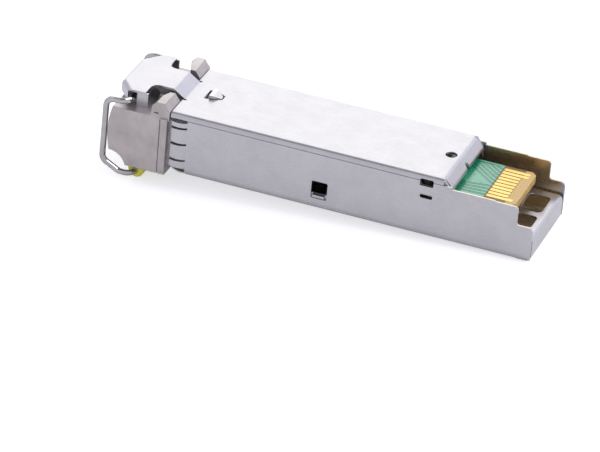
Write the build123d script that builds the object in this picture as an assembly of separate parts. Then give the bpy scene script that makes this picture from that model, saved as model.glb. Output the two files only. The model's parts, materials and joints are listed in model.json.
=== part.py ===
from build123d import *
import math
import os

# A pluggable optical transceiver for a small form-factor cage, in millimetres.
# +X runs to the rear edge connector, +Z to the latch side, and -Y is the transmitting side.
# The origin is on the label face, on the centreline, level with the latch shoulder.

# Body
body_width = 13.4
body_height = 8.5
rear_length = 45.0
sheet = 0.3
label_fold = 1.0
wall_drop = 0.74
cover_back = 10.4
cover_fold = 0.6
cover_seam = 0.06
skirt_gap = 0.03
skirt_drop = 2.8

# Rear walls of the label shell, with lengths measured forwards from the rear end
rail_clear = 0.3
rail_seat_drop = 1.05
rail_drop = 1.15
rail_ramp = 0.2
rail_front = 5.0
rail_end = 2.1
rail_corner = 0.5
rail_foot = 0.3
end_wall_top = 4.9
end_wall_corner = 0.7

# Nose
nose_overhang = 0.15
nose_front = 11.0
chin_rear = -8.4
chin_middle = (-9.15, 0.75)
chin_front = (-10.7, 1.3)
face_middle = 4.4
brow_x = -10.5
bridge_front = -10.3
bridge_rear = -8.0
bridge_half = 0.8
bridge_top = 2.0
nose_bottom = -0.4
nose_drop = 1.05
nose_rear = 3.1
rib_width = 0.9
rib_proud = 0.18
rib_groove = 0.15
rib_low = 0.1
neck_rear = 1.7
neck_clear = 0.1

# Optical ports
port_pitch = 6.25
port_size = 4.6
port_depth = 9.1
mouth_depth = 0.7
mouth_flare = 0.15
axis_height = 3.9
latch_channel = 2.9
channel_floor = 0.12
channel_short = 1.6
channel_notch = 3.4
catch_width = 4.3
catch_length = 2.2
catch_front = 2.4
ferrule_bore = 1.25
sleeve_outer = 2.1
sleeve_length = 4.4
barrel_outer = 2.9
barrel_reach = 4.4
barrel_clear = 0.05
barrel_lip = 0.3
light_bore = 1.6
flange_set = 1.0
flange_outer = 4.8
flange_length = 0.7
groove_outer = 3.2
groove_length = 0.9
body_outer = 4.4
fork_wall = 0.6
fork_bottom = 0.45
fork_roof = 0.5
fork_clear = 0.06
slot_clear = 0.03
can_front = 3.0
can_outer = 4.8
can_length = 1.2
can_flat = 2.15
can_notch = 0.4
lead_radius = 0.2
lead_flats = 8
lead_circle = 1.27
lead_length = 0.9

# Circuit board and card edge
board_clear = 0.17
board_thick = 1.0
board_below_latch = 2.25
board_front = 10.2
board_back = 3.2
card_width = 9.2
card_length = 8.6
card_chamfer = 0.6
pad_pitch = 0.8
pad_width = 0.6
pad_thick = 0.04
pad_start = 3.95
short_pad_stop = 1.4
long_pad_stop = 0.6
pad_count = 10

# Rear shelf of the label shell
shelf_height = 3.25
shelf_length = 4.4
shelf_inset = 0.35
shelf_bend = 0.5
shelf_root = 2.0
window_start = 3.9
window_stop = 1.1
window_corner = 0.7
window_far = (0.45, 4.85)
window_near = (-3.75, -0.55)

# Latch lever
lever_axis_x = -5.2
lever_axis_drop = 0.35
lever_half = 1.9
lever_clear = 0.25
lever_front = -9.0
lever_front_rise = 0.05
lever_front_thick = 0.3
lever_rear = 1.75
lever_rear_drop = 0.6
lever_rear_thick = 0.5
lever_hub = 0.55
pin_radius = 0.3
pin_clear = 0.04
pin_half = 3.05
ear_thick = 1.1
ear_top = 0.45
ear_top_half = 0.55
ear_foot_half = 0.8
room_drop = 1.6
deep_drop = 2.1
spring_thick = 0.12
spring_half = 0.8
spring_foot = 1.0
spring_back = -0.9
spring_tip = -1.4
boss_front = 0.0
boss_tip = 1.45
boss_half = 1.0
boss_flat = 0.55
boss_tip_half = 0.3
boss_rise = 0.45
boss_tip_drop = 0.15
boss_gap = 0.2
boss_gap_front = 0.6

# Bail
wire_radius = 0.4
wire_flats = 16
wire_end = 0.3
bail_inset = 0.25
bail_axis_x = -8.55
bail_axis_drop = 0.1
bail_front = -11.45
bail_lean = 0.1
bail_foot_z = -0.35
bail_knee = (-9.3, -1.55)
crank_drop = 0.35
crank_half = 3.0
journal_half = 3.7
crank_room = 0.7
groove_clear = 0.05
bearing_front = 0.75
bearing_rear = 0.8
bearing_start = 3.6
bearing_end = 4.25
bearing_rise = 0.3
wire_bend = 1.1
crank_bend = 0.6
grip_x = -7.5
grip_z = -1.6
grip_radius = 1.05
grip_half = 5.4
grip_rib = 0.1
grip_soft = 0.25
grip_grooves = 7
grip_pitch = 1.3
groove_half = 0.15

# Hood at the front of the latch cover
hood_rise = 1.05
hood_half = 5.3
hood_front = -10.85
hood_rear = -6.85
hood_round = 0.65
hood_overlap = 0.5
hood_corner_x = 1.7
hood_corner_y = 2.1
hood_skirt_drop = 0.55
tongue_half = 2.55
slope_front = -4.15
slope_rear = -2.6
slope_bend = 0.35
cover_front = -2.8
relief_depth = 0.45
relief_width = 0.3
tongue_root_half = 3.4
tongue_root_middle = 2.8
tongue_root_length = 0.75
hood_leg_front = -7.95
hood_leg_rear = -6.45
hood_wire_room = 0.25

# Horns at the sides of the nose
horn_front = -5.45
horn_rear = -2.9
horn_inner = 3.4
horn_rise = 1.02
horn_inner_rise = 0.92
horn_inner_front = -4.25
horn_lean = 0.15
horn_bevel = 0.6
horn_bevel_length = 0.65
horn_slope = 0.75
horn_notch = (0.5, 1.1, -0.55, -0.4)
horn_notch_depth = 0.25
root_sink = 0.2

half_body = body_width / 2
half_nose = half_body + nose_overhang
inner_half = half_body - sheet
skirt_outer = inner_half - skirt_gap
board_half = skirt_outer - sheet - board_clear
shelf_half = inner_half - shelf_inset
bail_half = half_nose - bail_inset
cover_inner = body_height - sheet
wall_top = body_height - wall_drop
skirt_bottom = body_height - skirt_drop
rail_seat = body_height - rail_seat_drop
rail_top = body_height - rail_drop
nose_top = body_height - nose_drop
lever_axis_z = body_height - lever_axis_drop
lever_front_low = body_height + lever_front_rise
lever_rear_top = body_height - lever_rear_drop
room_floor = body_height - room_drop
deep_floor = body_height - deep_drop
fork_top = deep_floor - fork_roof
boss_top = body_height + boss_rise
boss_low = body_height - boss_tip_drop
bail_axis_z = body_height - bail_axis_drop
bearing_top = body_height + bearing_rise
hood_top = body_height + hood_rise
hood_skirt = body_height - hood_skirt_drop
horn_top = body_height + horn_rise
horn_inner_top = body_height + horn_inner_rise
cover_end = rear_length - cover_back
board_end = rear_length - board_back
card_start = board_end - card_length
pad_front = board_end - pad_start
short_pad_end = board_end - short_pad_stop
long_pad_end = board_end - long_pad_stop
shelf_front = rear_length - shelf_length
window_front = rear_length - window_start
window_rear = rear_length - window_stop
board_top = body_height - board_below_latch
board_bottom = board_top - board_thick
port_floor = -nose_front + port_depth
port_y = port_pitch / 2
flange_front = port_floor + flange_set
groove_front = flange_front + flange_length
groove_rear = groove_front + groove_length
fork_half = inner_half - fork_wall
nose_root = nose_top - root_sink
beyond = 1.0


# Shared helpers

def block(x0, x1, y0, y1, z0, z1):
    size = Box(x1 - x0, y1 - y0, z1 - z0)
    return Pos((x0 + x1) / 2, (y0 + y1) / 2, (z0 + z1) / 2) * size


def along_y(face, y0, y1):
    return extrude(Plane.XZ.offset(-y1) * face, amount=y1 - y0)


def along_x(face, x0, x1):
    return extrude(Plane.YZ.offset(x0) * face, amount=x1 - x0)


def along_z(face, z0, z1):
    return extrude(Plane.XY.offset(z0) * face, amount=z1 - z0)


def outline(*points):
    return make_face(Polyline(*points, close=True))


def rod_x(radius, x0, x1, y, z):
    return along_x(Pos(y, z) * Circle(radius), x0, x1)


def rod_y(radius, y0, y1, x, z):
    return along_y(Pos(x, z) * Circle(radius), y0, y1)


def bent_wire(path, radius):
    # The round section has narrow flats, which keep the many bends light
    section = RegularPolygon(radius, wire_flats)
    return sweep(Plane(origin=path @ 0, z_dir=path % 0) * section, path=path)


def both_sides(shape):
    return shape + mirror(shape, about=Plane.XZ)


def save(shape, name):
    export_step(shape, "parts/" + name + ".step")


# Label shell: one folded sheet with the label face, both sides, the front fingers and the rear shelf

finger_root = -0.5
finger_tip = -2.75
finger_thick = 0.2
finger_flare = 0.32
finger_slot = 0.26
finger_end = 0.02
finger_overlap = 0.2
finger_shoulder = 0.5
finger_top_gap = 0.15
side_taper = 0.92
label_taper = 0.55
side_slot_shares = (0.8634, 0.5735, 0.2835)
label_slots = (-3.6, -1.2, 1.2, 3.6)


def channel_section(half, bottom, top, radius):
    return make_face(
        FilletPolyline((-half, top), (-half, bottom), (half, bottom), (half, top), radius=radius)
        + Line((half, top), (-half, top))
    )


def shell_channel():
    outer = channel_section(half_body, 0, wall_top, label_fold)
    inner = channel_section(inner_half, sheet, wall_top + beyond, label_fold - sheet)
    return along_x(outer - inner, finger_root, rear_length)


def rear_wall_cut():
    over = body_height + beyond
    step = rear_length - rail_front
    back = rear_length - rail_end
    end_start = rear_length - end_wall_corner
    end_low = end_wall_top - end_wall_corner
    front = cover_end - rail_clear
    notch = make_face(
        Polyline(
            (rear_length + beyond, end_low),
            (rear_length + beyond, over),
            (front, over),
            (front, rail_seat),
            (step - rail_ramp, rail_seat),
            (step, rail_top),
            (back - rail_corner, rail_top),
        )
        + TangentArc((back - rail_corner, rail_top), (back, rail_top - rail_corner), tangent=(1, 0))
        + Line((back, rail_top - rail_corner), (back, end_wall_top + rail_foot))
        + TangentArc((back, end_wall_top + rail_foot), (back + rail_foot, end_wall_top), tangent=(0, -1))
        + Line((back + rail_foot, end_wall_top), (end_start, end_wall_top))
        + TangentArc((end_start, end_wall_top), (rear_length, end_low), tangent=(1, 0))
        + Line((rear_length, end_low), (rear_length + beyond, end_low))
    )
    return along_y(notch, -half_body - beyond, half_body + beyond)


def rear_shelf():
    middle = sheet / 2
    path = FilletPolyline(
        (rear_length - shelf_root, middle),
        (rear_length - middle, middle),
        (rear_length - middle, shelf_height - middle),
        (shelf_front, shelf_height - middle),
        radius=shelf_bend,
    )
    shelf = along_y(trace(path, line_width=sheet), -shelf_half, shelf_half)
    for low, high in (window_far, window_near):
        opening = Rectangle(window_rear - window_front, high - low)
        opening = fillet(opening.vertices(), window_corner)
        place = Pos((window_front + window_rear) / 2, (low + high) / 2)
        shelf -= along_z(place * opening, shelf_height - 2 * sheet, shelf_height + sheet)
    return shelf


def finger(width, tip_width):
    # Built along X with +Y outwards, then turned onto the side or the label face
    middle = (finger_root + finger_tip) / 2
    inner_end = finger_end - finger_thick
    curve_out = ThreePointArc((finger_root, 0), (middle, finger_flare), (finger_tip, finger_end))
    curve_in = ThreePointArc(
        (finger_tip, inner_end), (middle, finger_flare - finger_thick), (finger_root, -finger_thick)
    )
    side = make_face(
        curve_out
        + Line((finger_tip, finger_end), (finger_tip, inner_end))
        + curve_in
        + Line((finger_root, -finger_thick), (finger_root, 0))
    )
    blade = extrude(side, amount=width / 2, both=True)
    shoulder = finger_root - finger_shoulder
    plan = outline(
        (finger_root + finger_overlap, -width / 2),
        (finger_root + finger_overlap, width / 2),
        (shoulder, width / 2),
        (finger_tip, tip_width / 2),
        (finger_tip, -tip_width / 2),
        (shoulder, -width / 2),
    )
    return blade & along_y(plan, -beyond, beyond)


def side_fingers():
    slots = [wall_top * share for share in side_slot_shares]
    edges = [wall_top - finger_top_gap, *slots, label_fold]
    fingers = []
    for high, low in zip(edges, edges[1:]):
        width = high - low - finger_slot
        blade = finger(width, width * side_taper)
        fingers.append(Pos(0, half_body, (high + low) / 2) * blade)
    return both_sides(Part() + fingers)


def label_fingers():
    edges = [-half_body + label_fold, *label_slots, half_body - label_fold]
    fingers = []
    for low, high in zip(edges, edges[1:]):
        width = high - low - finger_slot
        blade = finger(width, width * label_taper)
        fingers.append(Pos(0, (low + high) / 2, 0) * (Rot(-90, 0, 0) * blade))
    return Part() + fingers


# Windows in the side walls: x from, x to, z from, z to

window_back = 2.7
edge_window_front = 4.45
edge_window_low = 1.4
edge_window_high = 0.45
lower_slot_front = 4.3
lower_slot_low = 3.08
lower_slot_high = 2.56
snap_window = (16.3, 18.4, 1.6, 4.0)
edge_window = (
    cover_end - edge_window_front,
    cover_end - window_back,
    body_height - edge_window_low,
    body_height - edge_window_high,
)
lower_slot = (
    cover_end - lower_slot_front,
    cover_end - window_back,
    body_height - lower_slot_low,
    body_height - lower_slot_high,
)
snap_corner = 0.2
edge_corner = 0.15
slot_corner = 0.18
window_reach = 1.2


def side_window(box, corner):
    x0, x1, z0, z1 = box
    opening = fillet(Rectangle(x1 - x0, z1 - z0).vertices(), corner)
    hole = along_y(Pos((x0 + x1) / 2, (z0 + z1) / 2) * opening, half_body - window_reach, half_body + beyond)
    return both_sides(hole)


tongue_plan = (2.2, 8.2)
tongue_y = 3.1
tongue_width = 2.6
tongue_rise = 0.35
tongue_crown = 0.05
tongue_top_x = 0.6
tongue_bend_x = 1.2
tongue_tip = 0.02
slit = 0.25


def label_tongues():
    # Two sprung tongues lanced out of the label face, high at their free front end
    x0, x1 = tongue_plan
    crown_x = x0 + tongue_top_x
    bend_x = x0 + tongue_bend_x
    crown = -tongue_rise - tongue_crown
    side = make_face(
        Line((x1, 0), (bend_x, -tongue_rise))
        + ThreePointArc((bend_x, -tongue_rise), (crown_x, crown), (x0, -tongue_tip))
        + Line((x0, -tongue_tip), (x0, sheet - tongue_tip))
        + ThreePointArc((x0, sheet - tongue_tip), (crown_x, sheet + crown), (bend_x, sheet - tongue_rise))
        + Line((bend_x, sheet - tongue_rise), (x1, sheet))
        + Line((x1, sheet), (x1, 0))
    )
    blade = along_y(side, -tongue_width / 2, tongue_width / 2)
    return both_sides(Pos(0, tongue_y, 0) * blade)


def label_tongue_cuts():
    x0, x1 = tongue_plan
    half = tongue_width / 2 + slit
    cut = block(x0 - slit, x1, tongue_y - half, tongue_y + half, -beyond, sheet + beyond)
    return both_sides(cut)


recess_front = 10.5
recess_back = 14.0
recess_half = 5.3
recess_depth = 0.12
recess_corner = 0.6


def recess_plate(z0, z1):
    recess_rear = rear_length - recess_back
    size = fillet(Rectangle(recess_rear - recess_front, 2 * recess_half).vertices(), recess_corner)
    return along_z(Pos((recess_front + recess_rear) / 2, 0) * size, z0, z1)


end_opening = 0.9


def label_shell():
    shell = shell_channel() - rear_wall_cut()
    mouth = rear_length - end_opening
    shell -= block(mouth, rear_length + beyond, -inner_half, inner_half, -beyond, 2 * sheet)
    shell += rear_shelf()
    shell -= side_window(snap_window, snap_corner)
    shell -= side_window(edge_window, edge_corner)
    shell -= side_window(lower_slot, slot_corner)
    shell -= label_tongue_cuts()
    shell += label_tongues()
    shell += recess_plate(sheet - recess_depth, sheet + recess_depth)
    shell -= recess_plate(-beyond, recess_depth)
    return shell + side_fingers() + label_fingers()


# Latch cover: the lid, its inner skirts and the hood over the latch

leg_front = 15.7
leg_rear = 19.0
leg_low = 1.5
leg_root = 0.2
leg_room = 0.25
hook_proud = 0.35
hook_root = 0.05
hook_top = 0.6
hook_high = 0.45
hook_low = 0.12
hook_front = 0.2
hook_rear = 0.35
skirt_start = 0.3
skirt_stop = 0.6
skirt_slope_drop = 1.15
lid_stop = 1.4
cover_hole_back = 2.75
cover_hole = 1.5
flange_back = 1.6
flange_root = 2.0
flange_drop = 1.5
flange_edge = body_height - flange_drop
flange_tip = 0.35
flange_knee = 0.2
flange_seam = 0.1
flange_bend = 0.8
flange_half = skirt_outer - sheet - flange_seam
flange_flat_end = cover_end - flange_back - flange_bend / 2
ear_drop = 2.35
ear_root = 1.1
ear_tip = 0.35
arch_width = 0.9
arch_length = 1.76
arch_y = 0.1
arch_corner = 0.4


def cover_lid():
    low = wall_top + cover_seam
    section = make_face(
        FilletPolyline(
            (-half_body, low),
            (-half_body, body_height),
            (half_body, body_height),
            (half_body, low),
            radius=cover_fold,
        )
        + Polyline(
            (half_body, low),
            (inner_half, low),
            (inner_half, cover_inner),
            (-inner_half, cover_inner),
            (-inner_half, low),
            (-half_body, low),
        )
    )
    return along_x(section, cover_front, cover_end - lid_stop)


def cover_skirt():
    inner = skirt_outer - sheet
    high = body_height - sheet / 2
    front = neck_rear + skirt_start
    rear = cover_end - skirt_stop
    side = outline(
        (front, skirt_bottom),
        (rear, skirt_bottom),
        (rear, body_height - skirt_slope_drop),
        (cover_end - lid_stop, high),
        (front, high),
    )
    return both_sides(along_y(side, inner, skirt_outer) + snap_leg(inner))


def snap_leg(inner):
    # A leg with an opening behind the snap window, and a small catch below the opening
    x0, x1, z0, z1 = snap_window
    leg = block(leg_front, leg_rear, inner, skirt_outer, leg_low, skirt_bottom + leg_root)
    low, high = z0 + hook_top, z1 + leg_room
    leg -= block(x0 - leg_room, x1 + leg_room, inner - beyond, skirt_outer + beyond, low, high)
    root = skirt_outer - hook_root
    tip = skirt_outer + hook_proud
    hook = outline((root, low), (tip, z0 + hook_high), (tip, z0 + hook_low), (root, z0 + hook_low))
    return leg + along_x(hook, x0 + hook_front, x1 - hook_rear)


def cover_flange():
    # The lid's bent rear edge, with a small arch cut into it and an ear at each end
    middle = body_height - sheet / 2
    start = cover_end - flange_back
    rear = cover_end - flange_tip - sheet / 2
    low = body_height - ear_drop
    path = FilletPolyline(
        (start - flange_root, middle),
        (start, middle),
        (rear, flange_edge + flange_knee),
        (rear, low),
        radius=flange_bend,
    )
    flange = along_y(trace(path, line_width=sheet), -flange_half, flange_half)
    root = flange_half - ear_root
    tip = flange_half - ear_tip
    between = outline((-root, flange_edge), (root, flange_edge), (tip, low), (-tip, low))
    flange -= along_x(between, start, cover_end)
    arch = fillet(Rectangle(arch_length, arch_width).vertices(), arch_corner)
    return flange - along_z(Pos(cover_end, arch_y) * arch, flange_edge - beyond, flange_edge + beyond)


def boss_plan(grow, grow_front):
    front = boss_front - grow_front
    flat = boss_front + boss_flat
    tip = boss_tip + grow
    half = boss_half + grow
    nose = boss_tip_half + grow
    return outline((front, -half), (front, half), (flat, half), (tip, nose), (tip, -nose), (flat, -half))


def hood_plan(inset):
    front = hood_front + inset
    half = hood_half - inset
    return outline(
        (hood_rear, -half),
        (front + hood_corner_x, -half),
        (front, -half + hood_corner_y),
        (front, half - hood_corner_y),
        (front + hood_corner_x, half),
        (hood_rear, half),
    )


def rounded_hood(inset, low, high):
    # The front and the slanted corners of the top edge are rounded, the straight sides are not
    solid = along_z(hood_plan(inset), low, high)
    limit = hood_front + hood_corner_x + sheet
    edges = [edge for edge in solid.faces().sort_by(Axis.Z)[-1].edges() if edge.center().X < limit]
    return fillet(edges, hood_round - inset)


def hood():
    under = hood_top - sheet
    low = nose_top - beyond
    inner_side = hood_half - sheet
    inner = rounded_hood(sheet, low, under)
    inner += block(hood_rear - beyond, hood_rear + beyond, -inner_side, inner_side, low, under)
    cap = rounded_hood(0, hood_skirt, hood_top) - inner
    opening_front = bail_axis_x - wire_radius - hood_wire_room
    gap = block(opening_front, hood_leg_front, inner_side - sheet, hood_half + sheet, low, under)
    cap -= both_sides(gap)
    leg_top = hood_top - sheet / 2
    leg = block(hood_leg_front, hood_leg_rear, inner_side, hood_half, nose_top, leg_top)
    return cap + both_sides(leg)


def tongue_root():
    # Slanted corners where the tongue leaves the rear edge of the hood
    middle_x = hood_rear + tongue_root_length / 3
    rear_x = hood_rear + tongue_root_length
    plan = outline(
        (hood_rear - hood_overlap, -tongue_root_half),
        (hood_rear, -tongue_root_half),
        (middle_x, -tongue_root_middle),
        (rear_x, -tongue_half),
        (rear_x, tongue_half),
        (middle_x, tongue_root_middle),
        (hood_rear, tongue_root_half),
        (hood_rear - hood_overlap, tongue_root_half),
    )
    return along_z(plan, hood_top - sheet, hood_top)


def cover_tongue():
    upper = hood_top - sheet / 2
    lower = body_height - sheet / 2
    path = FilletPolyline(
        (hood_rear - hood_overlap, upper),
        (slope_front, upper),
        (slope_rear, lower),
        (cover_front + beyond, lower),
        radius=slope_bend,
    )
    return along_y(trace(path, line_width=sheet), -tongue_half, tongue_half)


def latch_cover():
    relief = block(
        cover_front - beyond,
        cover_front + relief_depth,
        tongue_half,
        tongue_half + relief_width,
        nose_top,
        body_height + beyond,
    )
    lid = cover_lid() - both_sides(relief)
    low, high = cover_inner - sheet, body_height + sheet
    lid -= block(flange_flat_end, cover_end, -flange_half, flange_half, low, high)
    lid += cover_skirt()
    lid += cover_flange()
    lid += cover_tongue()
    lid += hood()
    lid += tongue_root()
    lid -= along_z(boss_plan(boss_gap, boss_gap_front), low, high)
    lid -= along_z(Pos(cover_end - cover_hole_back, 0) * Circle(cover_hole / 2), low, high)
    return lid - side_window(edge_window, edge_corner)


# Nose housing: the die-cast block with both ports, the latch seats and the optics' neck

def nose_outline():
    return make_face(
        Line((-nose_rear, nose_bottom), (chin_rear, nose_bottom))
        + ThreePointArc((chin_rear, nose_bottom), chin_middle, chin_front)
        + ThreePointArc(chin_front, (-nose_front, face_middle), (brow_x, nose_top))
        + Polyline((brow_x, nose_top), (-nose_rear, nose_top), (-nose_rear, nose_bottom))
    )


def nose_block():
    cheeks = along_y(nose_outline(), -half_nose, half_nose)
    bridge = block(bridge_front, bridge_rear, -bridge_half, bridge_half, nose_bottom, bridge_top)
    rib_half = half_nose + rib_proud
    rib = block(-nose_rear - rib_width, -nose_rear, -rib_half, rib_half, rib_low, nose_top)
    neck_half = inner_half - neck_clear
    neck = block(-nose_rear - rib_width, neck_rear, -neck_half, neck_half, sheet + neck_clear, nose_top)
    low_edges = neck.edges().filter_by(Axis.X).group_by(Axis.Z)[0]
    neck = fillet(low_edges, label_fold - sheet)
    rear = -nose_rear - rib_width
    inner = half_nose - rib_groove
    line = block(rear - rib_groove, rear, inner, half_nose + beyond, nose_bottom, nose_top)
    return cheeks - both_sides(line) + bridge + rib + neck


def port(y):
    z = axis_height
    half = port_size / 2
    flared = half + mouth_flare
    front = -nose_front - beyond
    channel_half = latch_channel / 2
    body = block(front, port_floor, y - half, y + half, z - half, z + half)
    mouth = block(front, -nose_front + mouth_depth, y - flared, y + flared, z - flared, z + flared)
    channel = block(front, port_floor - channel_short, y - channel_half, y + channel_half, channel_floor, z)
    catch_start = -nose_front + catch_front
    catch = block(
        catch_start, catch_start + catch_length, y - catch_width / 2, y + catch_width / 2, channel_floor, z
    )
    notch_rear = -nose_front + channel_notch
    notch = block(front, notch_rear, y - channel_half, y + channel_half, nose_bottom - beyond, z)
    return body + mouth + channel + catch + notch


def optics_bore(y):
    wall = rod_x(barrel_outer / 2 + barrel_clear, port_floor - beyond, neck_rear + beyond, y, axis_height)
    seat = rod_x(flange_outer / 2 + barrel_clear, flange_front, neck_rear + beyond, y, axis_height)
    return wall + seat


def fork_slot():
    half = fork_half + neck_clear
    x0 = groove_front + slot_clear
    x1 = groove_rear - slot_clear
    return block(x0, x1, -half, half, -beyond, fork_top + slot_clear)


def horn():
    low = nose_root
    side = outline(
        (horn_front, low),
        (horn_front + horn_lean, horn_top - horn_bevel),
        (horn_front + horn_lean + horn_bevel_length, horn_top),
        (horn_rear - horn_slope, horn_top),
        (horn_rear, body_height),
        (horn_rear, low),
    )
    solid = along_y(side, horn_inner, half_nose)
    over = horn_top + beyond
    inner_edge = (horn_inner, horn_inner_top)
    slant = outline(inner_edge, (half_nose, horn_top), (half_nose, over), (horn_inner, over))
    solid -= along_x(slant, horn_front - beyond, horn_rear + beyond)
    front = horn_front - beyond
    corner = outline(
        (front, half_nose), (horn_front, half_nose), (horn_inner_front, horn_inner), (front, horn_inner)
    )
    solid -= along_z(corner, nose_root, over)
    start, stop, z0, z1 = horn_notch
    low, high = body_height + z0, body_height + z1
    return solid - block(
        horn_front + start, horn_front + stop, half_nose - horn_notch_depth, half_nose + beyond, low, high
    )


def lever_ear():
    top = lever_axis_z + ear_top
    side = outline(
        (lever_axis_x - ear_foot_half, nose_root),
        (lever_axis_x - ear_top_half, top),
        (lever_axis_x + ear_top_half, top),
        (lever_axis_x + ear_foot_half, nose_root),
    )
    return along_y(side, pin_half - ear_thick + neck_clear, pin_half + neck_clear)


def bail_bearing():
    front = bail_axis_x - bearing_front
    rear = bail_axis_x + bearing_rear
    post = block(front, rear, bearing_start, bearing_end, nose_root, bearing_top)
    half = wire_radius + groove_clear
    groove = rod_y(half, 0, half_nose, bail_axis_x, bail_axis_z)
    groove += block(bail_axis_x - half, bail_axis_x + half, 0, half_nose, bail_axis_z, bearing_top + beyond)
    return post - groove


def lever_room():
    # The pocket under the lever's rear arm, deeper where the boss end drops
    half = lever_half + lever_clear
    front = -nose_rear - rib_width - horn_slope
    shallow = block(front, neck_rear + beyond, -half, half, room_floor, nose_top + beyond)
    deep = block(port_floor, neck_rear + beyond, -half, half, deep_floor, nose_top + beyond)
    return shallow + deep


def crank_trough():
    # Shallow room for the wire's crank between its two bearings
    end = crank_half + crank_room
    front = bail_axis_x - bearing_front
    rear = bail_axis_x + hood_round
    return block(front, rear, -end, end, nose_top - neck_clear, bearing_top)


def nose_housing():
    nose = nose_block()
    nose += both_sides(horn() + lever_ear() + bail_bearing())
    for y in (-port_y, port_y):
        nose -= port(y)
        nose -= optics_bore(y)
    nose -= fork_slot()
    nose -= lever_room()
    nose -= rod_y(pin_radius, -pin_half - neck_clear, pin_half + neck_clear, lever_axis_x, lever_axis_z)
    return nose - crank_trough()


# Latch lever: rocks on its pin, with the latch boss on its rear arm

lever_rise = 0.4
lever_sink = 0.45
lever_hub_front = 0.5
lever_hub_rear = 0.6
lever_fall = 1.9
lever_under_rear = 1.3
lever_under_hub = 0.3
lever_under_front = 1.3


def latch_lever():
    rear_low = lever_rear_top - lever_rear_thick
    front_top = lever_front_low + lever_front_thick
    side = outline(
        (lever_front, lever_front_low),
        (lever_front, front_top),
        (lever_axis_x - lever_hub_front, front_top),
        (lever_axis_x + lever_hub_rear, lever_axis_z + lever_rise),
        (lever_axis_x + lever_fall, lever_rear_top),
        (lever_rear, lever_rear_top),
        (lever_rear, rear_low),
        (lever_axis_x + lever_under_rear, rear_low),
        (lever_axis_x + lever_under_hub, lever_axis_z - lever_sink),
        (lever_axis_x - lever_rise, lever_axis_z - lever_rise),
        (lever_axis_x - lever_under_front, lever_front_low),
    )
    arm = along_y(side, -lever_half, lever_half)
    arm += rod_y(lever_hub, -lever_half, lever_half, lever_axis_x, lever_axis_z)
    through = lever_half + beyond
    arm -= rod_y(pin_radius + pin_clear, -through, through, lever_axis_x, lever_axis_z)
    boss = along_z(boss_plan(0, 0), lever_rear_top - neck_clear, boss_top)
    flat = boss_front + boss_flat
    tip = boss_tip + boss_gap
    over = boss_top + beyond
    ramp = outline((flat, boss_top), (tip, boss_low), (tip, over), (flat, over))
    boss -= along_y(ramp, -lever_half, lever_half)
    return arm + boss


def lever_pin():
    return rod_y(pin_radius, -pin_half, pin_half, lever_axis_x, lever_axis_z)


def lever_spring():
    low = deep_floor + spring_thick / 2
    high = lever_rear_top - lever_rear_thick - spring_thick / 2 - pin_clear
    front = neck_rear - neck_clear
    path = FilletPolyline(
        (front, low), (front - spring_foot, low), (spring_back, high), (spring_tip, high), radius=rail_corner
    )
    return along_y(trace(path, line_width=spring_thick), -spring_half, spring_half)


# Bail: one bent wire with its ends inside the coloured grip

def bail_wire():
    points = [
        (grip_x, -wire_end, grip_z),
        (grip_x, -bail_half, grip_z),
        (bail_knee[0], -bail_half, bail_knee[1]),
        (bail_front - bail_lean, -bail_half, bail_foot_z),
        (bail_front, -bail_half, bail_axis_z - bail_lean),
        (bail_axis_x, -bail_half, bail_axis_z),
        (bail_axis_x, -journal_half, bail_axis_z),
        (bail_axis_x, -crank_half, bail_axis_z - crank_drop),
    ]
    points += [(x, -y, z) for x, y, z in reversed(points)]
    bends = [wire_bend] * 5 + [crank_bend] * 2
    return bent_wire(FilletPolyline(*points, radius=bends + bends[::-1]), wire_radius)


def bail_grip():
    # Turned outline of half a section: a tube with softened ends and grip grooves
    high, low = grip_radius, grip_radius - grip_rib
    rim = [(wire_radius, -grip_half), (high - grip_soft, -grip_half), (high, -grip_half + grip_soft)]
    for index in range(grip_grooves):
        y = (index - (grip_grooves - 1) / 2) * grip_pitch
        front, back = y - groove_half, y + groove_half
        rim += [(high, front), (low, y), (high, back)]
    rim += [(high, grip_half - grip_soft), (high - grip_soft, grip_half), (wire_radius, grip_half)]
    return Pos(grip_x, 0, grip_z) * revolve(Plane.XY * outline(*rim), axis=Axis.Y)


# Optical subassemblies

def barrel(y):
    z = axis_height
    front = port_floor - barrel_reach
    solid = rod_x(barrel_outer / 2, front, groove_front, y, z)
    solid += rod_x(flange_outer / 2, flange_front, groove_front, y, z)
    solid += rod_x(groove_outer / 2, groove_front, groove_rear, y, z)
    solid += rod_x(body_outer / 2, groove_rear, can_front, y, z)
    solid -= rod_x(sleeve_outer / 2, front - beyond, front + barrel_lip + sleeve_length, y, z)
    return solid - rod_x(light_bore / 2, front, can_front + beyond, y, z)


def sleeve(y):
    front = port_floor - barrel_reach + barrel_lip
    rear = front + sleeve_length
    tube = rod_x(sleeve_outer / 2, front, rear, y, axis_height)
    return tube - rod_x(ferrule_bore / 2, front - beyond, rear + beyond, y, axis_height)


def lead_places(y):
    places = []
    for turn in (45, 135, 225, 315):
        angle = math.radians(turn)
        places.append((y + lead_circle * math.cos(angle), axis_height + lead_circle * math.sin(angle)))
    return places


def can(y):
    rear = can_front + can_length
    header = rod_x(can_outer / 2, can_front, rear, y, axis_height)
    low = axis_height - can_outer
    key = block(can_front - beyond, rear + beyond, y - can_notch, y + can_notch, low, axis_height - can_flat)
    header -= key
    for lead_y, lead_z in lead_places(y):
        pin = Pos(lead_y, lead_z) * RegularPolygon(lead_radius, lead_flats)
        header += along_x(pin, rear - sheet, rear + lead_length)
    return header


flex_thick = 0.12
flex_half = 1.7
flex_drop = 2.0
flex_reach = 1.4
flex_bend = 1.0
flex_x = can_front + can_length + lead_length + flex_thick / 2


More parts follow.
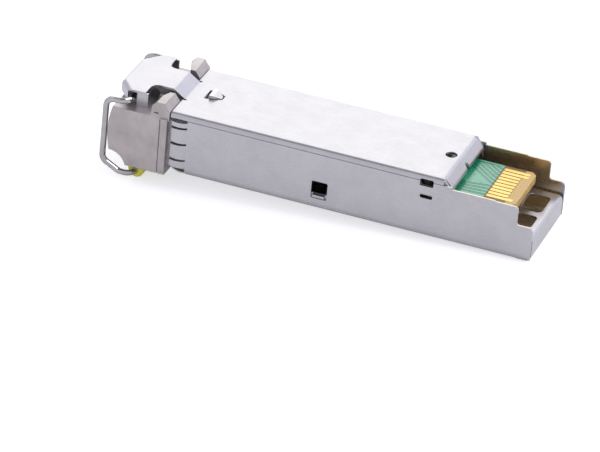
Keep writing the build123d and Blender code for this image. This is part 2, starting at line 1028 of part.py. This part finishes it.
def flex(y):
    high = board_top + flex_thick / 2
    path = FilletPolyline(
        (flex_x, axis_height - flex_drop), (flex_x, high), (board_front + flex_reach, high), radius=flex_bend
    )
    return along_y(trace(path, line_width=flex_thick), y - flex_half, y + flex_half)


def optics_fork():
    x0 = groove_front + fork_clear
    x1 = groove_rear - fork_clear
    plate = block(x0, x1, -fork_half, fork_half, fork_bottom, fork_top)
    radius = groove_outer / 2 + barrel_clear
    for y in (-port_y, port_y):
        plate -= rod_x(radius, x0 - beyond, x1 + beyond, y, axis_height)
        plate -= block(x0 - beyond, x1 + beyond, y - radius, y + radius, axis_height, fork_top + beyond)
    return plate


# Circuit board, contacts and components

def circuit_board():
    half = board_half
    card = card_width / 2
    plan = outline(
        (board_front, -half),
        (card_start, -half),
        (card_start, -card),
        (board_end - card_chamfer, -card),
        (board_end, -card + card_chamfer),
        (board_end, card - card_chamfer),
        (board_end - card_chamfer, card),
        (card_start, card),
        (card_start, half),
        (board_front, half),
    )
    return along_z(plan, board_bottom, board_top)


def contacts(z0, short_first, short_last):
    pads = []
    for index in range(pad_count):
        y = (index - (pad_count - 1) / 2) * pad_pitch
        end = short_pad_end if short_first <= index + 1 <= short_last else long_pad_end
        pads.append(block(pad_front, end, y - pad_width / 2, y + pad_width / 2, z0, z0 + pad_thick))
    return Compound(children=pads)


# Components: x, y, length, width, height
controller_back = 10.1
driver_size = (15.2, -2.9, 4.0, 4.0, 0.9)
amplifier_size = (15.4, 2.9, 3.0, 3.0, 0.85)
controller_size = (cover_end - controller_back, 0.5, 5.0, 5.0, 0.9)
memory_size = (25.0, -1.5, 3.0, 4.4, 1.0)
chip_corner = 0.1
thermal_half = 1.9
capacitor_front = 19.0
capacitor_pitch = 1.6
capacitor_count = 8
capacitor_rows = (3.6, -3.9)
capacitor_box = (0.5, 1.0, 0.5)
bead_backs = (5.0, 3.4)
bead_ys = (-1.6, 0.2)
bead_box = (1.2, 0.8, 0.75)


def seated(x, y, length, width, height, z0):
    return block(x - length / 2, x + length / 2, y - width / 2, y + width / 2, z0, z0 + height)


def chip(size, z0):
    body = seated(*size, z0)
    return chamfer(body.edges().filter_by(Axis.Z), chip_corner)


def rows(xs, ys, size):
    return Compound(children=[seated(x, y, *size, board_top) for y in ys for x in xs])


def thermal_pad():
    x, y, height = driver_size[0], driver_size[1], driver_size[4]
    low = board_top + height
    return seated(x, y, 2 * thermal_half, 2 * thermal_half, cover_inner - low, low)


def capacitors():
    xs = [capacitor_front + capacitor_pitch * index for index in range(capacitor_count)]
    return rows(xs, capacitor_rows, capacitor_box)


os.makedirs("parts", exist_ok=True)
save(label_shell(), "label_shell")
save(latch_cover(), "latch_cover")
save(nose_housing(), "nose_housing")
save(latch_lever(), "latch_lever")
save(lever_pin(), "lever_pin")
save(lever_spring(), "lever_spring")
save(bail_wire(), "bail_wire")
save(bail_grip(), "bail_grip")
for side, y in (("transmitter", -port_y), ("receiver", port_y)):
    save(barrel(y), side + "_barrel")
    save(sleeve(y), side + "_sleeve")
    save(can(y), side + "_can")
    save(flex(y), side + "_flex")
save(optics_fork(), "optics_fork")
save(circuit_board(), "circuit_board")
save(contacts(board_top, 2, 8), "latch_side_contacts")
save(contacts(board_bottom - pad_thick, 2, 9), "label_side_contacts")
save(chip(driver_size, board_top), "laser_driver")
save(chip(amplifier_size, board_top), "receive_amplifier")
save(chip(controller_size, board_top), "controller_chip")
save(chip(memory_size, board_bottom - memory_size[4]), "memory_chip")
save(thermal_pad(), "thermal_pad")
save(capacitors(), "capacitors")
save(rows([cover_end - back for back in bead_backs], bead_ys, bead_box), "ferrite_beads")
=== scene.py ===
import json
import math

import bmesh
import bpy
from mathutils import Matrix, Vector


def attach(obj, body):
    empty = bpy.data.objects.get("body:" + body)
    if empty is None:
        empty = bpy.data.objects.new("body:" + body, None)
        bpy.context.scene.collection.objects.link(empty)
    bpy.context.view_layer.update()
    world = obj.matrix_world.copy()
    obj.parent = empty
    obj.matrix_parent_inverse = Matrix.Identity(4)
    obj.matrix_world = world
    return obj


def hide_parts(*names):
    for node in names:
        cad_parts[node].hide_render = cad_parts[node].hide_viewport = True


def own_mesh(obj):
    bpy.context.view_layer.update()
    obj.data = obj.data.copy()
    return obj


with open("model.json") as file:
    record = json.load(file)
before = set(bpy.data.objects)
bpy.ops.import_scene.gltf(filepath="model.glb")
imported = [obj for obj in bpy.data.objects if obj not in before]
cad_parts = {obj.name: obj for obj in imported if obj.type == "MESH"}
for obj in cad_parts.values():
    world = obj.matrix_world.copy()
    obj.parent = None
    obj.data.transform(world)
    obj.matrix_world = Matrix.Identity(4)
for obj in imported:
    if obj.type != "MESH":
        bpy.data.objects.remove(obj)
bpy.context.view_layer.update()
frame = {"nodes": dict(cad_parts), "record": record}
nodes = frame["nodes"]
print("stage: frame loaded,", len(nodes), "nodes")

mm = 0.001

# Camera, fitted to the module's outline sizes
camera = {
    "place": (168.073, -476.871, 278.329),  # mm
    "azimuth": 18.02,
    "elevation": 29.63,
    "roll": 5.185,
    "focal": 4578.78,  # pixels, as are the centre and the frame
    "centre": (298.57, 226.33),
    "frame": (600, 452),
    "sensor": 36.0,
    "clip": (0.01, 10),
}


def makeCamera(c):
    azimuth, elevation, roll = (math.radians(c[k]) for k in ("azimuth", "elevation", "roll"))
    forward = Vector((
        -math.sin(azimuth) * math.cos(elevation),
        math.cos(azimuth) * math.cos(elevation),
        -math.sin(elevation),
    ))
    right = forward.cross(Vector((0, 0, 1))).normalized()
    up = right.cross(forward)
    turnedRight = math.cos(roll) * right + math.sin(roll) * up
    turnedUp = math.cos(roll) * up - math.sin(roll) * right
    data = bpy.data.cameras.new("camera")
    width, height = c["frame"]
    data.sensor_width = c["sensor"]
    data.lens = c["focal"] / width * c["sensor"]
    data.shift_x = (width / 2 - c["centre"][0]) / width
    data.shift_y = (c["centre"][1] - height / 2) / width
    data.clip_start, data.clip_end = c["clip"]
    camObject = bpy.data.objects.new("camera", data)
    bpy.context.scene.collection.objects.link(camObject)
    turn = Matrix((turnedRight, turnedUp, -forward)).transposed().to_4x4()
    camObject.matrix_world = Matrix.Translation(Vector(c["place"]) * mm) @ turn
    bpy.context.scene.camera = camObject


makeCamera(camera)
bpy.context.scene.view_settings.view_transform = "Standard"
print("stage: camera")


# Helpers that add shader nodes

def setInputs(tree, node, inputs):
    for key, value in inputs.items():
        if isinstance(value, bpy.types.NodeSocket):
            tree.links.new(value, node.inputs[key])
        else:
            node.inputs[key].default_value = value
    return node


def addNode(tree, kind, inputs=None, **settings):
    node = tree.nodes.new(kind)
    for key, value in settings.items():
        setattr(node, key, value)
    return setInputs(tree, node, inputs or {})


def coordsInMm(tree):
    place = addNode(tree, "ShaderNodeTexCoord").outputs["Object"]
    scaled = addNode(tree, "ShaderNodeVectorMath", {0: place, "Scale": 1 / mm}, operation="SCALE")
    return scaled.outputs["Vector"]


def mathNode(tree, operation, a, b=0.0, clamp=False):
    node = addNode(tree, "ShaderNodeMath", {0: a, 1: b}, operation=operation, use_clamp=clamp)
    return node.outputs["Value"]


def mixColours(tree, factor, a, b):
    return addNode(tree, "ShaderNodeMix", {0: factor, 6: a, 7: b}, data_type="RGBA").outputs[2]


def mapRange(tree, value, low, high, toLow, toHigh):
    node = addNode(tree, "ShaderNodeMapRange", {
        "Value": value, "From Min": low, "From Max": high, "To Min": toLow, "To Max": toHigh,
    })
    return node.outputs["Result"]


def noise(tree, vector, scale, detail, roughness=0.5):
    node = addNode(tree, "ShaderNodeTexNoise", {
        "Vector": vector, "Scale": scale, "Detail": detail, "Roughness": roughness,
    })
    return node.outputs["Fac"]


def makeGroup(name, inputs, outputs):
    tree = bpy.data.node_groups.new(name, "ShaderNodeTree")
    for label, kind in inputs.items():
        tree.interface.new_socket(label, in_out="INPUT", socket_type="NodeSocket" + kind)
    for label, kind in outputs.items():
        tree.interface.new_socket(label, in_out="OUTPUT", socket_type="NodeSocket" + kind)
    return tree, tree.nodes.new("NodeGroupInput").outputs, tree.nodes.new("NodeGroupOutput")


def useGroup(tree, group, inputs):
    node = tree.nodes.new("ShaderNodeGroup")
    node.node_tree = group
    return setInputs(tree, node, inputs).outputs


def newMaterial(name):
    material = bpy.data.materials.new(name)
    material.use_nodes = True
    tree = material.node_tree
    return material, tree, tree.nodes["Principled BSDF"]


# Grain, blotches and fine scratches that every metal shares, in mm
metalGrain = {
    "detail": 4.0,
    "blotchScale": 0.35, "blotchDetail": 4.0, "blotchRoughness": 0.6,
    "scratchTurn": (0.4, 0.3, 0.6), "scratchStretch": (0.5, 9.0, 9.0),
    "scratchScale": 1.3, "scratchDetail": 2.0, "scratchFrom": 0.68, "scratchTo": 0.74,
    "scratchDepth": 0.25, "bumpHeight": 0.02,
}


def makeMetalSurface(g):
    tree, source, sink = makeGroup(
        "metalSurface",
        {"Grain Stretch": "Vector", "Grain Scale": "Float", "Bump": "Float"},
        {"Grain": "Float", "Blotch": "Float", "Scratch": "Float", "Normal": "Vector"},
    )
    place = coordsInMm(tree)
    mapping = addNode(tree, "ShaderNodeMapping", {"Vector": place, "Scale": source["Grain Stretch"]})
    grain = noise(tree, mapping.outputs["Vector"], source["Grain Scale"], g["detail"])
    blotch = noise(tree, place, g["blotchScale"], g["blotchDetail"], g["blotchRoughness"])
    turned = addNode(tree, "ShaderNodeMapping", {
        "Vector": place, "Rotation": g["scratchTurn"], "Scale": g["scratchStretch"],
    })
    lines = noise(tree, turned.outputs["Vector"], g["scratchScale"], g["scratchDetail"])
    scratch = mapRange(tree, lines, g["scratchFrom"], g["scratchTo"], 0.0, 1.0)
    cut = mathNode(tree, "MULTIPLY", scratch, -g["scratchDepth"])
    bump = addNode(tree, "ShaderNodeBump", {
        "Height": mathNode(tree, "ADD", grain, cut),
        "Distance": g["bumpHeight"] * mm,
        "Strength": source["Bump"],
    })
    normal = bump.outputs["Normal"]
    setInputs(tree, sink, {"Grain": grain, "Blotch": blotch, "Scratch": scratch, "Normal": normal})
    return tree


# Fine texture and soft clouding of moulded and coated surfaces, in mm
mouldedGrain = {"detail": 4.0, "cloudScale": 0.6, "cloudDetail": 3.0, "bumpHeight": 0.03}


def makeMouldedSurface(g):
    tree, source, sink = makeGroup(
        "mouldedSurface",
        {"Scale": "Float", "Bump": "Float"},
        {"Fine": "Float", "Cloud": "Float", "Normal": "Vector"},
    )
    place = coordsInMm(tree)
    fine = noise(tree, place, source["Scale"], g["detail"])
    cloud = noise(tree, place, g["cloudScale"], g["cloudDetail"])
    bump = addNode(tree, "ShaderNodeBump", {
        "Height": fine, "Distance": g["bumpHeight"] * mm, "Strength": source["Bump"],
    })
    setInputs(tree, sink, {"Fine": fine, "Cloud": cloud, "Normal": bump.outputs["Normal"]})
    return tree


metalSurface = makeMetalSurface(metalGrain)
mouldedSurface = makeMouldedSurface(mouldedGrain)

# Metals; edge is the radius in mm that the light sees on a sharp corner
metals = {
    "nickelSheet": {
        "light": (0.56, 0.555, 0.57, 1), "dark": (0.49, 0.485, 0.50, 1), "rough": (0.26, 0.36),
        "stretch": (0.25, 3.0, 3.0), "grain": 3.0, "bump": 0.06, "edge": 0.10,
        # Warm tone painted on the inner faces of the rear walls and bottom: a painted reflection of
        # the board
        "inside": {
            "colour": (0.68, 0.575, 0.41, 1), "start": 34.6, "end": 44.6,
            "halfWidth": 6.7, "fold": 1.0, "halfSheet": 0.15, "wallIn": 6.2, "bottomHigh": 1.5,
        },
    },
    "castNose": {
        "light": (0.54, 0.505, 0.495, 1), "dark": (0.34, 0.315, 0.31, 1), "rough": (0.27, 0.42),
        "stretch": (1.0, 1.0, 1.0), "grain": 7.0, "bump": 0.5, "edge": 0.14, "metallic": 0.8,
    },
    "latchSteel": {
        "light": (0.74, 0.73, 0.71, 1), "dark": (0.60, 0.59, 0.57, 1), "rough": (0.26, 0.38),
        "stretch": (3.0, 0.4, 3.0), "grain": 3.0, "bump": 0.12, "metallic": 0.8,
    },
    "bailSteel": {
        "light": (0.57, 0.565, 0.56, 1), "dark": (0.36, 0.355, 0.35, 1), "rough": (0.04, 0.10),
        "stretch": (1.0, 1.0, 1.0), "grain": 6.0, "bump": 0.05,
    },
    "opticsMetal": {
        "light": (0.80, 0.79, 0.76, 1), "dark": (0.66, 0.65, 0.62, 1), "rough": (0.22, 0.34),
        "stretch": (8.0, 0.3, 0.3), "grain": 2.0, "bump": 0.15,
    },
    "goldPlate": {
        "light": (0.86, 0.62, 0.22, 1), "dark": (0.70, 0.47, 0.14, 1), "rough": (0.24, 0.36),
        "stretch": (1.0, 1.0, 1.0), "grain": 6.0, "bump": 0.08,
    },
}
wear = {"grainShare": 0.5, "spots": (0.35, 0.65), "spotShare": 0.5}
textureRange = (0.3, 0.7)  # the part of a noise that goes from the smoothest to the roughest


def between(tree, value, low, high):
    above = mathNode(tree, "GREATER_THAN", value, low)
    return mathNode(tree, "MULTIPLY", above, mathNode(tree, "LESS_THAN", value, high))


def insideMask(tree, m):
    # Inner faces of the rear side walls and of the bottom below the shelf:
    # all that lies deeper than half the sheet, round the folds too; these faces carry a warm painted
    # reflection of the board
    split = addNode(tree, "ShaderNodeSeparateXYZ", {0: coordsInMm(tree)})
    x, z = split.outputs["X"], split.outputs["Z"]
    away = mathNode(tree, "ABSOLUTE", split.outputs["Y"])
    pastFold = mathNode(tree, "SUBTRACT", away, m["halfWidth"] - m["fold"])
    beside = mathNode(tree, "MAXIMUM", pastFold, 0.0)
    under = mathNode(tree, "MAXIMUM", mathNode(tree, "SUBTRACT", m["fold"], z), 0.0)
    squares = [mathNode(tree, "POWER", side, 2.0) for side in (beside, under)]
    reach = mathNode(tree, "SQRT", mathNode(tree, "ADD", *squares))
    deep = mathNode(tree, "LESS_THAN", reach, m["fold"] - m["halfSheet"])
    walls = mathNode(tree, "GREATER_THAN", away, m["wallIn"])
    bottom = mathNode(tree, "LESS_THAN", z, m["bottomHigh"])
    either = mathNode(tree, "ADD", walls, bottom, clamp=True)
    place = mathNode(tree, "MULTIPLY", either, deep)
    return mathNode(tree, "MULTIPLY", place, between(tree, x, m["start"], m["end"]))


def makeMetal(name, look):
    material, tree, shader = newMaterial(name)
    surface = useGroup(tree, metalSurface, {
        "Grain Stretch": look["stretch"], "Grain Scale": look["grain"], "Bump": look["bump"],
    })
    worn = mathNode(tree, "MULTIPLY", surface["Grain"], wear["grainShare"])
    spots = mapRange(tree, surface["Blotch"], *wear["spots"], 0.0, wear["spotShare"])
    darker = mathNode(tree, "ADD", worn, spots, clamp=True)
    colour = mixColours(tree, darker, look["light"], look["dark"])
    # Painted reflection: the inner faces take a warm tone for the board they mirror
    if "inside" in look:
        inner = look["inside"]
        colour = mixColours(tree, insideMask(tree, inner), colour, inner["colour"])
    normal = surface["Normal"]
    if "edge" in look:
        rounded = {"Radius": look["edge"] * mm, "Normal": normal}
        normal = addNode(tree, "ShaderNodeBevel", rounded, samples=4).outputs["Normal"]
    setInputs(tree, shader, {
        "Base Color": colour,
        "Roughness": mapRange(tree, surface["Grain"], *textureRange, *look["rough"]),
        "Normal": normal,
        "Metallic": look.get("metallic", 1.0),
    })
    return material


# Plastics, rubber, ceramic and the coated copper
plastics = {
    "gripPlastic": {
        "light": (0.90, 0.84, 0.12, 1), "dark": (0.80, 0.73, 0.07, 1),
        "rough": (0.36, 0.5), "scale": 5.0, "bump": 0.25,
    },
    "whiteCeramic": {
        "light": (0.90, 0.89, 0.85, 1), "dark": (0.84, 0.83, 0.78, 1),
        "rough": (0.12, 0.2), "scale": 8.0, "bump": 0.04,
    },
    "flexFilm": {
        "light": (0.62, 0.33, 0.08, 1), "dark": (0.52, 0.26, 0.06, 1),
        "rough": (0.3, 0.42), "scale": 4.0, "bump": 0.06,
    },
    "forkPlastic": {
        "light": (0.05, 0.05, 0.055, 1), "dark": (0.035, 0.035, 0.038, 1),
        "rough": (0.45, 0.6), "scale": 8.0, "bump": 0.2,
    },
    "chipBlack": {
        "light": (0.028, 0.028, 0.03, 1), "dark": (0.018, 0.018, 0.02, 1),
        "rough": (0.4, 0.58), "scale": 14.0, "bump": 0.3,
    },
    "padRubber": {
        "light": (0.36, 0.39, 0.44, 1), "dark": (0.30, 0.33, 0.38, 1),
        "rough": (0.7, 0.85), "scale": 7.0, "bump": 0.4,
    },
    "capacitorTan": {
        "light": (0.42, 0.29, 0.18, 1), "dark": (0.34, 0.23, 0.14, 1),
        "rough": (0.3, 0.42), "scale": 12.0, "bump": 0.1,
    },
    "ferriteGrey": {
        "light": (0.10, 0.10, 0.11, 1), "dark": (0.07, 0.07, 0.075, 1),
        "rough": (0.4, 0.55), "scale": 12.0, "bump": 0.2,
    },
    "copperTrace": {
        "light": (0.002, 0.15, 0.08, 1), "dark": (0.002, 0.12, 0.06, 1),
        "rough": (0.25, 0.35), "scale": 6.0, "bump": 0.1,
        "coat": 0.8, "coatIor": 1.75, "coatRough": 0.25,
    },
}


def makePlastic(name, look):
    material, tree, shader = newMaterial(name)
    surface = useGroup(tree, mouldedSurface, {"Scale": look["scale"], "Bump": look["bump"]})
    setInputs(tree, shader, {
        "Base Color": mixColours(tree, surface["Cloud"], look["light"], look["dark"]),
        "Roughness": mapRange(tree, surface["Fine"], *textureRange, *look["rough"]),
        "Normal": surface["Normal"],
    })
    if "coat" in look:
        setInputs(tree, shader, {
            "Coat Weight": look["coat"],
            "Coat IOR": look["coatIor"],
            "Coat Roughness": look["coatRough"],
        })
    return material


# Board: glossy green mask, bare laminate at the card edge and on the cut edges, with painted shade
# on the bare laminate short of the pads' end
board = {
    "mask": (0.004, 0.300, 0.155, 1), "maskDark": (0.003, 0.235, 0.115, 1),
    # The second laminate colour is painted shade for the gaps between the pads
    "bare": (0.49, 0.32, 0.10, 1), "shadeBetweenPads": (0.14, 0.08, 0.02, 1),
    "maskEnd": 37.6, "padsEnd": 40.45, "top": 6.25, "bottom": 5.25, "skin": 0.02,
    "scale": 4.0, "bump": 0.1, "rough": (0.24, 0.34), "coatIor": 1.66, "coatRough": 0.25,
}


def makeBoardLook(b):
    material, tree, shader = newMaterial("greenBoard")
    surface = useGroup(tree, mouldedSurface, {"Scale": b["scale"], "Bump": b["bump"]})
    split = addNode(tree, "ShaderNodeSeparateXYZ", {0: coordsInMm(tree)})
    x, z = split.outputs["X"], split.outputs["Z"]
    above = mathNode(tree, "GREATER_THAN", z, b["top"] - b["skin"])
    below = mathNode(tree, "LESS_THAN", z, b["bottom"] + b["skin"])
    face = mathNode(tree, "ADD", above, below, clamp=True)
    masked = mathNode(tree, "MULTIPLY", face, mathNode(tree, "LESS_THAN", x, b["maskEnd"]))
    # Painted shade: bare laminate short of the pads' end is darkened, between the pads and on the
    # cut edges there
    paintedShadeSpan = mathNode(tree, "LESS_THAN", x, b["padsEnd"])
    bare = mixColours(tree, paintedShadeSpan, b["bare"], b["shadeBetweenPads"])
    green = mixColours(tree, surface["Cloud"], b["mask"], b["maskDark"])
    setInputs(tree, shader, {
        "Base Color": mixColours(tree, masked, bare, green),
        "Roughness": mapRange(tree, surface["Fine"], *textureRange, *b["rough"]),
        "Coat Weight": masked,
        "Coat IOR": b["coatIor"],
        "Coat Roughness": b["coatRough"],
        "Normal": surface["Normal"],
    })
    return material


looks = {name: makeMetal(name, look) for name, look in metals.items()}
looks.update({name: makePlastic(name, look) for name, look in plastics.items()})
looks["greenBoard"] = makeBoardLook(board)

slotLooks = {
    "nickel_sheet": "nickelSheet",
    "cast_nose": "castNose",
    "latch_steel": "latchSteel",
    "bail_steel": "bailSteel",
    "grip_plastic": "gripPlastic",
    "optics_metal": "opticsMetal",
    "white_ceramic": "whiteCeramic",
    "gold_plate": "goldPlate",
    "flex_film": "flexFilm",
    "fork_plastic": "forkPlastic",
    "green_board": "greenBoard",
    "chip_black": "chipBlack",
    "pad_rubber": "padRubber",
    "capacitor_tan": "capacitorTan",
    "ferrite_grey": "ferriteGrey",
}
for part in frame["record"]["subparts"]:
    piece = nodes[part["node"]]
    piece.data.materials.clear()
    piece.data.materials.append(looks[slotLooks[part["material_slot"]]])
print("stage: materials")


def addPiece(name, tool, look, body):
    mesh = bpy.data.meshes.new(name)
    tool.to_mesh(mesh)
    tool.free()
    mesh.materials.append(looks[look])
    piece = bpy.data.objects.new(name, mesh)
    bpy.context.scene.collection.objects.link(piece)
    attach(piece, body)
    return piece


# Copper traces and vias below the mask, on the board's latch side, in mm
traces = {
    "pads": 10, "pitch": 0.8, "gap": 0.13, "width": 0.07, "high": 0.012,
    "start": 37.8, "bend": 37.4, "stop": 33.4,
    "nearLean": (0.07, 0.17, 0.26, 0.34),  # the first pads' traces lean the other way
    "slope": 0.87, "limit": 4.15, "spare": 0.1,
    "vias": ((35.0, -1.3), (36.2, -0.9), (36.9, -3.0), (34.9, 0.6), (37.1, 1.7), (36.9, 3.9)),
    "viaRadius": 0.17, "viaTop": 0.8, "viaSides": 20,
}


def ribbon(tool, points, width, z):
    # A flat strip that starts as one edge and is drawn from point to point
    half = width / 2 * mm
    x, y = points[0]
    ends = [tool.verts.new((x * mm, y * mm + side * half, z * mm)) for side in (-1, 1)]
    edge = tool.edges.new(ends)
    for x, y in points[1:]:
        drawn = bmesh.ops.extrude_edge_only(tool, edges=[edge])["geom"]
        edge = next(item for item in drawn if isinstance(item, bmesh.types.BMEdge))
        low, high = sorted(edge.verts, key=lambda v: v.co.y)
        low.co = (x * mm, y * mm - half, z * mm)
        high.co = (x * mm, y * mm + half, z * mm)


def traceRoute(t, y, pad):
    run = t["bend"] - t["stop"]
    head = [(t["start"], y), (t["bend"], y)]
    if pad < len(t["nearLean"]):
        return head + [(t["stop"], y - t["nearLean"][pad] * run / 2)]
    turnX = t["bend"] - (t["limit"] - y) / t["slope"]
    if turnX < t["stop"]:
        return head + [(t["stop"], y + run * t["slope"])]
    return head + [(turnX, t["limit"]), (t["stop"], t["limit"])]


def makeTraces(t, top):
    tool = bmesh.new()
    for pad in range(t["pads"]):
        middle = (pad - (t["pads"] - 1) / 2) * t["pitch"]
        for side in (-1, 1):
            y = middle + side * t["gap"]
            if y < t["limit"] - t["spare"]:
                ribbon(tool, traceRoute(t, y, pad), t["width"], top + t["high"])
    bmesh.ops.solidify(tool, geom=tool.faces[:], thickness=t["high"] * mm)
    bmesh.ops.recalc_face_normals(tool, faces=tool.faces)
    for x, y in t["vias"]:
        bmesh.ops.create_cone(
            tool, cap_ends=True, segments=t["viaSides"], depth=2 * t["high"] * mm,
            radius1=t["viaRadius"] * mm, radius2=t["viaRadius"] * t["viaTop"] * mm,
            matrix=Matrix.Translation((x * mm, y * mm, top * mm)),
        )
    addPiece("boardTraces", tool, "copperTrace", "housing")


makeTraces(traces, board["top"])
print("stage: traces")

# Leaf spring below the lever, copied from its part with the doubled points merged
spring = {
    "node": "lever_spring", "joint": "lever_rock", "foot": (-2.0, 0.0, 6.4), "keep": 0.45,
    "merge": 0.0001,
}


def makeSpring(s):
    tool = bmesh.new()
    tool.from_mesh(nodes[s["node"]].data)
    bmesh.ops.remove_doubles(tool, verts=tool.verts, dist=s["merge"] * mm)
    piece = addPiece("leverSpring", tool, "latchSteel", "housing")
    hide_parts(s["node"])
    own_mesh(piece)


makeSpring(spring)
print("stage: spring")

# White paper that runs from under the grip to the rear end, in mm
paper = {
    "grip": (-7.5, -2.66), "rear": (44.9, 0.0), "halfSize": 1500,
    "plain": (0.88, 0.88, 0.89, 1), "plainRough": 0.7,
    "seen": (0.60, 0.60, 0.61, 1), "seenGlow": (0.99, 0.99, 1.0, 1), "seenShare": 0.62,
    "mirrored": (0.60, 0.595, 0.61, 1), "mirroredGlow": (0.98, 0.97, 1.0, 1), "mirroredShare": 0.21,
}


def glowingPaper(tree, colour, glow, share):
    lit = addNode(tree, "ShaderNodeBsdfDiffuse", {"Color": colour})
    own = addNode(tree, "ShaderNodeEmission", {"Color": glow, "Strength": share})
    return addNode(tree, "ShaderNodeAddShader", {0: lit.outputs[0], 1: own.outputs[0]}).outputs[0]


def makePaper(p):
    # The camera sees white paper that still takes the shadow, metal sees it a little dimmer,
    # and all other light meets plain paper
    material, tree, shader = newMaterial("floorPaper")
    setInputs(tree, shader, {"Base Color": p["plain"], "Roughness": p["plainRough"]})
    seen = glowingPaper(tree, p["seen"], p["seenGlow"], p["seenShare"])
    mirrored = glowingPaper(tree, p["mirrored"], p["mirroredGlow"], p["mirroredShare"])
    ray = addNode(tree, "ShaderNodeLightPath").outputs
    inMetal = mathNode(tree, "ADD", ray["Is Glossy Ray"], ray["Is Transmission Ray"], clamp=True)
    inner = addNode(tree, "ShaderNodeMixShader", {0: inMetal, 1: shader.outputs[0], 2: mirrored})
    outer = {0: ray["Is Camera Ray"], 1: inner.outputs[0], 2: seen}
    surface = addNode(tree, "ShaderNodeMixShader", outer).outputs[0]
    tree.links.new(surface, tree.nodes["Material Output"].inputs["Surface"])
    return material


def makeFloor(p):
    gripX, gripZ = p["grip"]
    rearX, rearZ = p["rear"]
    slope = math.atan2(rearZ - gripZ, rearX - gripX)
    place = Matrix.Translation((gripX * mm, 0, gripZ * mm)) @ Matrix.Rotation(-slope, 4, "Y")
    tool = bmesh.new()
    bmesh.ops.create_grid(
        tool, x_segments=1, y_segments=1, size=p["halfSize"] * mm, matrix=place,
    )
    mesh = bpy.data.meshes.new("floor")
    tool.to_mesh(mesh)
    tool.free()
    mesh.materials.append(makePaper(p))
    floor = bpy.data.objects.new("floor", mesh)
    bpy.context.scene.collection.objects.link(floor)


makeFloor(paper)

# Lamps, in metres and watts
lamps = {
    "top": {
        "place": (0.30, 0.12, 0.58), "aim": (0.015, 0, 0.004),
        "size": 0.50, "power": 2.5, "colour": (1, 1, 1),
    },
    "back": {
        "place": (-0.185, 0.47, 0.26), "aim": (0.015, 0, 0.004),
        "size": 0.50, "power": 0.72, "colour": (1, 0.985, 0.90),
    },
    "right": {
        "place": (0.45, 0.35, 0.16), "aim": (0.015, 0, 0.004),
        "size": 0.40, "power": 0.10, "colour": (1, 1, 1),
    },
    "cool": {
        "place": (0.19, 0.50, 0.30), "aim": (-0.003, 0, 0.009),
        "size": 0.22, "power": 0.075, "colour": (0.7, 0.7, 1),
    },
}


def makeLamp(name, look):
    data = bpy.data.lights.new(name, "AREA")
    data.shape = "SQUARE"
    data.size = look["size"]
    data.energy = look["power"]
    data.color = look["colour"]
    lamp = bpy.data.objects.new(name, data)
    bpy.context.scene.collection.objects.link(lamp)
    place, aim = Vector(look["place"]), Vector(look["aim"])
    turn = (aim - place).to_track_quat("-Z", "Y").to_matrix().to_4x4()
    lamp.matrix_world = Matrix.Translation(place) @ turn


for name, look in lamps.items():
    makeLamp(name, look)

# A light room behind and to the right, a dimmer one behind the camera, a dark ceiling
room = {
    "bright": (0.84, 0.84, 0.93, 1), "front": (0.82, 0.80, 0.92, 1),
    "ceiling": (0.14, 0.14, 0.15, 1),
    "towards": (0.30, 0.62, 0.25), "turn": (-0.35, 0.35), "ceilingHeight": (0.86, 0.95),
    "strength": 1.0,
}


def makeRoom(r):
    world = bpy.data.worlds.new("world")
    bpy.context.scene.world = world
    world.use_nodes = True
    tree = world.node_tree
    place = addNode(tree, "ShaderNodeTexCoord").outputs["Object"]
    facing = addNode(
        tree, "ShaderNodeVectorMath", {0: place, 1: r["towards"]}, operation="DOT_PRODUCT",
    )
    turned = mapRange(tree, facing.outputs["Value"], *r["turn"], 0.0, 1.0)
    walls = mixColours(tree, turned, r["front"], r["bright"])
    height = addNode(tree, "ShaderNodeSeparateXYZ", {0: place}).outputs["Z"]
    overhead = mapRange(tree, height, *r["ceilingHeight"], 0.0, 1.0)
    setInputs(tree, tree.nodes["Background"], {
        "Color": mixColours(tree, overhead, walls, r["ceiling"]),
        "Strength": r["strength"],
    })


makeRoom(room)
print("stage: floor and lamps")
